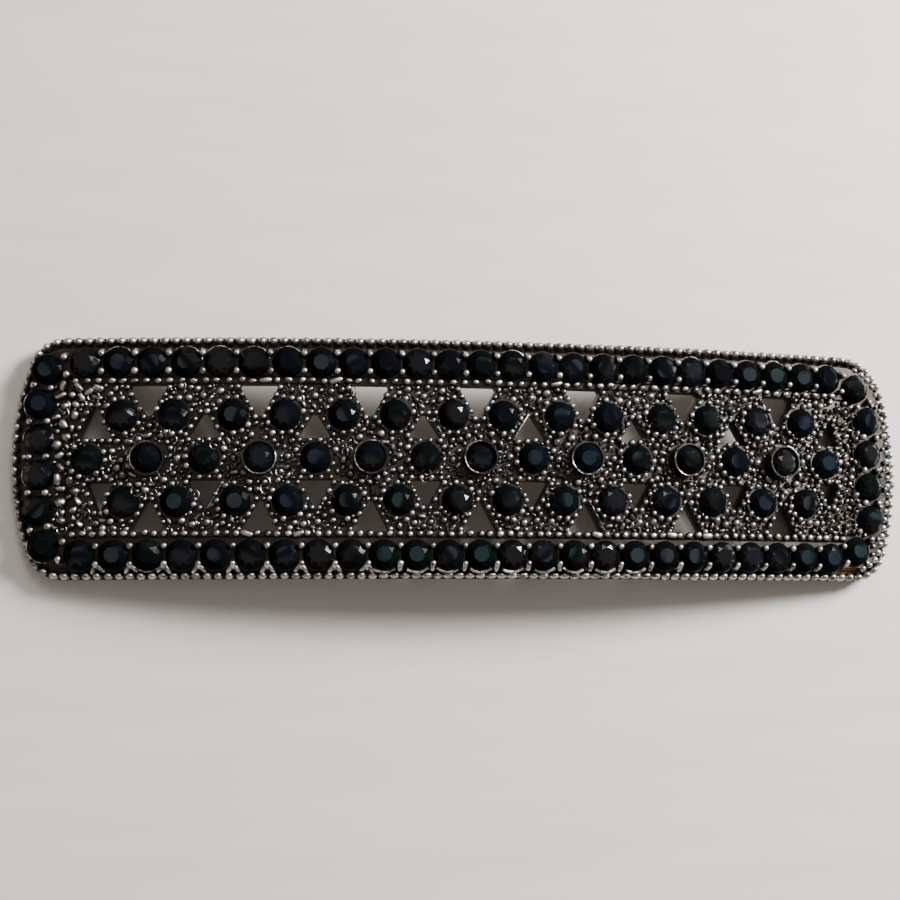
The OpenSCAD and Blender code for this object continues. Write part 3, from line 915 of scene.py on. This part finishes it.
# %% Antique silver, casting
HEIGHT_SPAN = 1.8
HEIGHT_FLOOR = -0.6
CAST_GRAIN_MM = 0.16
STAIN_MM = 1.2
STAIN_GAIN = 2.0
CAST_SKIN_MM = 0.04
WORN_SPOT = bend(31.4, -9.1, -0.6)
WORN_SPOT_MM = 1.6


def from_arch_axis(tree, place):
    """The way from the arch's axis straight out to each place."""
    away = add(tree, "ShaderNodeVectorMath", {0: place, 1: (0, 0, AXIS_Z * MM)}, operation="SUBTRACT")
    straight = add(
        tree, "ShaderNodeVectorMath", {0: away.outputs["Vector"], 1: (1, 0, 1)}, operation="MULTIPLY"
    )
    return straight.outputs["Vector"]


antique_silver, tree, shader, place = new_material("antique_silver_casting")
reach = add(tree, "ShaderNodeVectorMath", {0: from_arch_axis(tree, place)}, operation="LENGTH")
height = add(
    tree, "ShaderNodeMapRange",
    {
        "Value": reach.outputs["Value"],
        "From Min": (PLATE_R + HEIGHT_FLOOR) * MM,
        "From Max": (PLATE_R + HEIGHT_FLOOR + HEIGHT_SPAN) * MM,
    },
)
stain = add(tree, "ShaderNodeTexNoise", {"Vector": place, "Scale": 1 / (STAIN_MM * MM), "Detail": 3.0})
grain = add(tree, "ShaderNodeTexNoise", {"Vector": place, "Scale": 1 / (CAST_GRAIN_MM * MM), "Detail": 2.0})
rubbed = add(
    tree, "ShaderNodeMath", {0: height.outputs["Result"], 1: stain.outputs["Fac"]}, operation="MULTIPLY"
)
rubbed = add(tree, "ShaderNodeMath", {0: rubbed.outputs["Value"], 1: STAIN_GAIN}, operation="MULTIPLY")
silver = add(
    tree, "ShaderNodeValToRGB", {"Fac": rubbed.outputs["Value"]},
    stops=[
        (0.0, "#726C68"), (0.016, "#46413E"), (0.3, "#4B4643"), (0.5, "#383431"), (0.62, "#3A3633"),
        (0.76, "#575250"), (0.95, "#494441"),
    ],
)
spot = add(tree, "ShaderNodeVectorMath", {0: place, 1: tuple(WORN_SPOT)}, operation="DISTANCE")
bare = add(
    tree, "ShaderNodeMapRange",
    {"Value": spot.outputs["Value"], "From Min": WORN_SPOT_MM * MM, "From Max": 0.2 * WORN_SPOT_MM * MM},
)
mixed = add(
    tree, "ShaderNodeMix",
    {"Factor": bare.outputs["Result"], 6: silver.outputs["Color"], 7: colour("#8F6C34")}, data_type="RGBA",
)
tree.links.new(mixed.outputs[2], shader.inputs["Base Color"])
roughness = add(
    tree, "ShaderNodeMapRange", {"Value": rubbed.outputs["Value"], "To Min": 0.55, "To Max": 0.24}
)
tree.links.new(roughness.outputs["Result"], shader.inputs["Roughness"])
cast_skin = add(
    tree, "ShaderNodeBump", {"Height": grain.outputs["Fac"], "Strength": 0.25, "Distance": CAST_SKIN_MM * MM}
)
tree.links.new(cast_skin.outputs["Normal"], shader.inputs["Normal"])
shader.inputs["Metallic"].default_value = 1.0
print("antique silver, casting:", len(tree.nodes), "nodes")

# %% [markdown]
# ### Antique silver on the grains
# The grains are the same metal, but each has its own foot in the black and its own bright top. The
# crest attribute knows both. The tone blends two ramps: the clean one for beads and heads that the
# cloth reached, and the dull one for grains deep between the stones, which kept most of the black.
# Real scuffs are finer than 0.12 mm, but wouldn't show.

# %% Antique silver, grains
TARNISH_MM = 0.5
TARNISH_GAIN = 1.9
SCUFF_MM = 0.12
SCUFF_DEPTH_MM = 0.03

bright_silver, tree, shader, place = new_material("antique_silver_grains")
crest = add(tree, "ShaderNodeAttribute", attribute_name="crest").outputs["Fac"]
tone = add(tree, "ShaderNodeAttribute", attribute_name="tone").outputs["Fac"]
tarnish = add(tree, "ShaderNodeTexNoise", {"Vector": place, "Scale": 1 / (TARNISH_MM * MM), "Detail": 2.0})
worn = add(tree, "ShaderNodeMath", {0: crest, 1: tarnish.outputs["Fac"]}, operation="MULTIPLY")
worn = add(tree, "ShaderNodeMath", {0: worn.outputs["Value"], 1: TARNISH_GAIN}, operation="MULTIPLY")
clean = add(
    tree, "ShaderNodeValToRGB", {"Fac": worn.outputs["Value"]},
    stops=[(0.0, "#2C2826"), (0.35, "#403B38"), (0.62, "#77726E"), (0.95, "#C2BEBA")],
)
dull = add(
    tree, "ShaderNodeValToRGB", {"Fac": worn.outputs["Value"]},
    stops=[(0.0, "#332F2C"), (0.45, "#403B38"), (0.75, "#4F4A46"), (1.0, "#5C5753")],
)
mixed = add(
    tree, "ShaderNodeMix",
    {"Factor": tone, 6: clean.outputs["Color"], 7: dull.outputs["Color"]}, data_type="RGBA",
)
tree.links.new(mixed.outputs[2], shader.inputs["Base Color"])
roughness = add(tree, "ShaderNodeMapRange", {"Value": tone, "To Min": 0.38, "To Max": 0.34})
tree.links.new(roughness.outputs["Result"], shader.inputs["Roughness"])
scuffs = add(tree, "ShaderNodeTexNoise", {"Vector": place, "Scale": 1 / (SCUFF_MM * MM), "Detail": 2.0})
scuffed = add(
    tree, "ShaderNodeBump",
    {"Height": scuffs.outputs["Fac"], "Strength": 0.15, "Distance": SCUFF_DEPTH_MM * MM},
)
tree.links.new(scuffed.outputs["Normal"], shader.inputs["Normal"])
shader.inputs["Metallic"].default_value = 1.0
print("antique silver, grains:", len(tree.nodes), "nodes")

# %% [markdown]
# ### Black glass
# The stones are pressed glass, black with a breath of navy or green. What the eye gets is the light
# in the flat facets, so the finish goes by how far a facet leans from the top of the arch. The
# tables are scratched, and on some a slate or teal colour is painted in: a painted reflection of the
# light overhead. The facets round the table are polished and a few mirror the window. The lowest
# ones hold grime and mirror nothing. One slow noise picks which tables get the painted reflection
# and which are clean, so that neighbours differ.

# %% Black glass, colour
TINT_MM = 4
PATCH_MM = 3
TABLE_LEAN = (0.96, 0.98)
PAINTED_REFLECTION_NOISE = (0.47, 0.4)

black_glass, tree, shader, place = new_material("black_pressed_glass")
facet = add(tree, "ShaderNodeTexCoord").outputs["Normal"]
tint = add(tree, "ShaderNodeTexNoise", {"Vector": place, "Scale": 1 / (TINT_MM * MM), "Detail": 0.0})
glass_colour = add(
    tree, "ShaderNodeValToRGB", {"Fac": tint.outputs["Fac"]},
    stops=[(0.3, "#080B10"), (0.5, "#08080A"), (0.7, "#070B0B")],
)
# Painted reflection: this slate or teal base colour on the tables stands in for the light they mirror from
# overhead.
table_painted_reflection = add(
    tree, "ShaderNodeValToRGB", {"Fac": tint.outputs["Fac"]},
    stops=[(0.35, "#181D25"), (0.5, "#222629"), (0.65, "#182325")],
)
upright = add(tree, "ShaderNodeVectorMath", {0: from_arch_axis(tree, place)}, operation="NORMALIZE")
facing = add(
    tree, "ShaderNodeVectorMath", {0: facet, 1: upright.outputs["Vector"]}, operation="DOT_PRODUCT"
)
is_table = add(
    tree, "ShaderNodeMapRange",
    {"Value": facing.outputs["Value"], "From Min": TABLE_LEAN[0], "From Max": TABLE_LEAN[1]},
)
patches = add(tree, "ShaderNodeTexNoise", {"Vector": place, "Scale": 1 / (PATCH_MM * MM), "Detail": 0.0})
# Picks which tables get the painted reflection.
painted_reflection_pick = add(
    tree, "ShaderNodeMapRange",
    {
        "Value": patches.outputs["Fac"], "From Min": PAINTED_REFLECTION_NOISE[0], "From Max": PAINTED_REFLECTION_NOISE[1],
        "To Min": 0.05, "To Max": 1.0,
    },
)
painted_reflection_share = add(
    tree, "ShaderNodeMath", {0: is_table.outputs["Result"], 1: painted_reflection_pick.outputs["Result"]}, operation="MULTIPLY"
)
mixed = add(
    tree, "ShaderNodeMix",
    {"Factor": painted_reflection_share.outputs["Value"], 6: glass_colour.outputs["Color"], 7: table_painted_reflection.outputs["Color"]},
    data_type="RGBA",
)
tree.links.new(mixed.outputs[2], shader.inputs["Base Color"])
print("black glass, colour:", len(tree.nodes), "nodes")

# %% [markdown]
# The shine varies too. Dust makes the glass a little rougher in places, and how strongly a facet
# mirrors goes by its lean and by the same patches.

# %% Black glass, shine
DUST_MM = 0.6
POLISHED_LEAN = (0.78, 0.88)
CLEAN_NOISE = (0.53, 0.61)
MIRROR = (0.03, 0.35)

dust = add(tree, "ShaderNodeTexNoise", {"Vector": place, "Scale": 1 / (DUST_MM * MM), "Detail": 4.0})
roughness = add(
    tree, "ShaderNodeMapRange",
    {"Value": dust.outputs["Fac"], "From Min": 0.35, "From Max": 0.75, "To Min": 0.08, "To Max": 0.18},
)
tree.links.new(roughness.outputs["Result"], shader.inputs["Roughness"])
polish = add(
    tree, "ShaderNodeMapRange",
    {
        "Value": facing.outputs["Value"], "From Min": POLISHED_LEAN[0], "From Max": POLISHED_LEAN[1],
        "To Min": MIRROR[0], "To Max": MIRROR[1],
    },
)
cleaner = add(
    tree, "ShaderNodeMapRange",
    {
        "Value": patches.outputs["Fac"], "From Min": CLEAN_NOISE[0], "From Max": CLEAN_NOISE[1],
        "To Min": 0.05, "To Max": 1.0,
    },
)
shine = add(
    tree, "ShaderNodeMath", {0: polish.outputs["Result"], 1: cleaner.outputs["Result"]}, operation="MULTIPLY"
)
tree.links.new(shine.outputs["Value"], shader.inputs["Specular IOR Level"])
shader.inputs["IOR"].default_value = 1.52
print("black glass, with shine:", len(tree.nodes), "nodes")

# %% [markdown]
# ### Steel of the pin
# The pin and its strip are plain drawn steel. Drawing leaves fine lines along the wire, so the
# noise is stretched along the bar. Real lines are too fine to show, so these are 0.1 mm apart.

# %% Drawn steel
LINE_MM = 0.1
LINE_STRETCH = 0.03
LINE_DEPTH_MM = 0.02

pin_steel, tree, shader, place = new_material("drawn_pin_steel")
stretched = add(tree, "ShaderNodeMapping", {"Vector": place, "Scale": (LINE_STRETCH, 1, 1)})
lines = add(
    tree, "ShaderNodeTexNoise",
    {"Vector": stretched.outputs["Vector"], "Scale": 1 / (LINE_MM * MM), "Detail": 3.0},
)
steel = add(
    tree, "ShaderNodeValToRGB", {"Fac": lines.outputs["Fac"]}, stops=[(0.3, "#8E8C88"), (0.7, "#B9B7B2")]
)
tree.links.new(steel.outputs["Color"], shader.inputs["Base Color"])
roughness = add(tree, "ShaderNodeMapRange", {"Value": lines.outputs["Fac"], "To Min": 0.25, "To Max": 0.42})
tree.links.new(roughness.outputs["Result"], shader.inputs["Roughness"])
ridges = add(
    tree, "ShaderNodeBump", {"Height": lines.outputs["Fac"], "Strength": 0.2, "Distance": LINE_DEPTH_MM * MM}
)
tree.links.new(ridges.outputs["Normal"], shader.inputs["Normal"])
shader.inputs["Metallic"].default_value = 1.0
print("drawn steel:", len(tree.nodes), "nodes")

# %% [markdown]
# ### The finishes on the pieces
# All the fine work is one kind of metal. The CAD nodes come with plain materials of their own, so
# those are cleared first. Apart from the casting and the pin, every CAD node is a stone.

# %% Finishes on the pieces
FINE_WORK = (
    edge_beading, rail_beading, prong_heads, setting_rings, bezel_lips, large_grains, gap_borders,
    petal_beads, field_grains, end_grains, wire_scrolls,
)
for piece in FINE_WORK:
    piece.data.materials.append(bright_silver)
for name, node in nodes.items():
    finish = {"frame": antique_silver, "pin_back": pin_steel}.get(name, black_glass)
    node.data.materials.clear()
    node.data.materials.append(finish)
print("finished:", len(FINE_WORK), "new pieces and", len(nodes), "CAD nodes")

# %% [markdown]
# ## The studio
# The brooch lies on a plain pale painted surface by a window. One large plane is enough for it, and
# a noise that is stretched along the bar gives it faint brush strokes.

# %% Floor
FLOOR_SIZE = 1.6
STROKE_MM = 2.5
STROKE_STRETCH = 0.12
STROKE_DEPTH_MM = 0.1

start_clean()
bpy.ops.mesh.primitive_plane_add(size=FLOOR_SIZE)
floor = bpy.context.object
floor.name = "floor"
painted, tree, shader, place = new_material("pale_painted_board")
stretched = add(tree, "ShaderNodeMapping", {"Vector": place, "Scale": (STROKE_STRETCH, 1, 1)})
strokes = add(
    tree, "ShaderNodeTexNoise",
    {"Vector": stretched.outputs["Vector"], "Scale": 1 / (STROKE_MM * MM), "Detail": 4.0},
)
paint = add(
    tree, "ShaderNodeValToRGB", {"Fac": strokes.outputs["Fac"]}, stops=[(0.3, "#D3CEC8"), (0.7, "#DAD6D0")]
)
tree.links.new(paint.outputs["Color"], shader.inputs["Base Color"])
brushed = add(
    tree, "ShaderNodeBump",
    {"Height": strokes.outputs["Fac"], "Strength": 0.2, "Distance": STROKE_DEPTH_MM * MM},
)
tree.links.new(brushed.outputs["Normal"], shader.inputs["Normal"])
shader.inputs["Roughness"].default_value = 0.55
floor.data.materials.append(painted)
floor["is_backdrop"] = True
print("floor", FLOOR_SIZE, "m wide, with", len(tree.nodes), "nodes")

# %% [markdown]
# A near light stands for the window. It is low at the upper right, so the gaps stay dark and the
# shadow falls far out at the lower left. A second, weak pane lights the beads of the upper edge.

# %% Window and pane
def soft_light(name, at, size, power, tint=(1.0, 1.0, 1.0)):
    """A square area light that faces the brooch."""
    start_clean()
    bpy.ops.object.light_add(type="AREA", location=at)
    light = bpy.context.object
    light.name = name
    light.data.size = size
    light.data.energy = power
    light.data.color = tint
    light.rotation_euler = at.to_track_quat("Z", "Y").to_euler()
    print(name, size, "m wide,", round(at.length, 2), "m away")


soft_light("window_light", Vector((0.214, 0.134, 0.162)), size=0.1, power=2.9, tint=(1.0, 0.995, 0.98))
soft_light("window_pane", Vector((0.03, 0.3, 0.42)), size=0.2, power=0.75)

# %% [markdown]
# The room stays dim and even, because the dark between the bright spots is what makes the metal
# look blackened. It is a little lighter overhead than at the horizon.

# %% Room
HORIZON_LIGHT = 0.33
ZENITH_LIGHT = 0.37

world = bpy.data.worlds.new("dim_room")
world.use_nodes = True
tree = world.node_tree
direction = add(tree, "ShaderNodeTexCoord").outputs["Generated"]
upward = add(tree, "ShaderNodeSeparateXYZ", {"Vector": direction}).outputs["Z"]
dimming = add(
    tree, "ShaderNodeMapRange", {"Value": upward, "To Min": HORIZON_LIGHT, "To Max": ZENITH_LIGHT},
    interpolation_type="SMOOTHSTEP",
)
tree.nodes["Background"].inputs["Color"].default_value = (1.0, 0.93, 0.87, 1.0)
tree.links.new(dimming.outputs["Result"], tree.nodes["Background"].inputs["Strength"])
bpy.context.scene.world = world
print("room light from", HORIZON_LIGHT, "to", ZENITH_LIGHT)

# %% [markdown]
# ## Sizes
# The fine work rides on the solids, so the dressed brooch should be hardly larger than the CAD
# model. Both boxes are measured, and the difference is printed.

# %% Sizes, and the end
start_clean()
bpy.context.view_layer.update()
low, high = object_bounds()
proud = [round(v / MM, 3) for v in [*(cad_low - low), *(high - cad_high)]]
print("stands proud of the CAD box by, in mm:", proud)
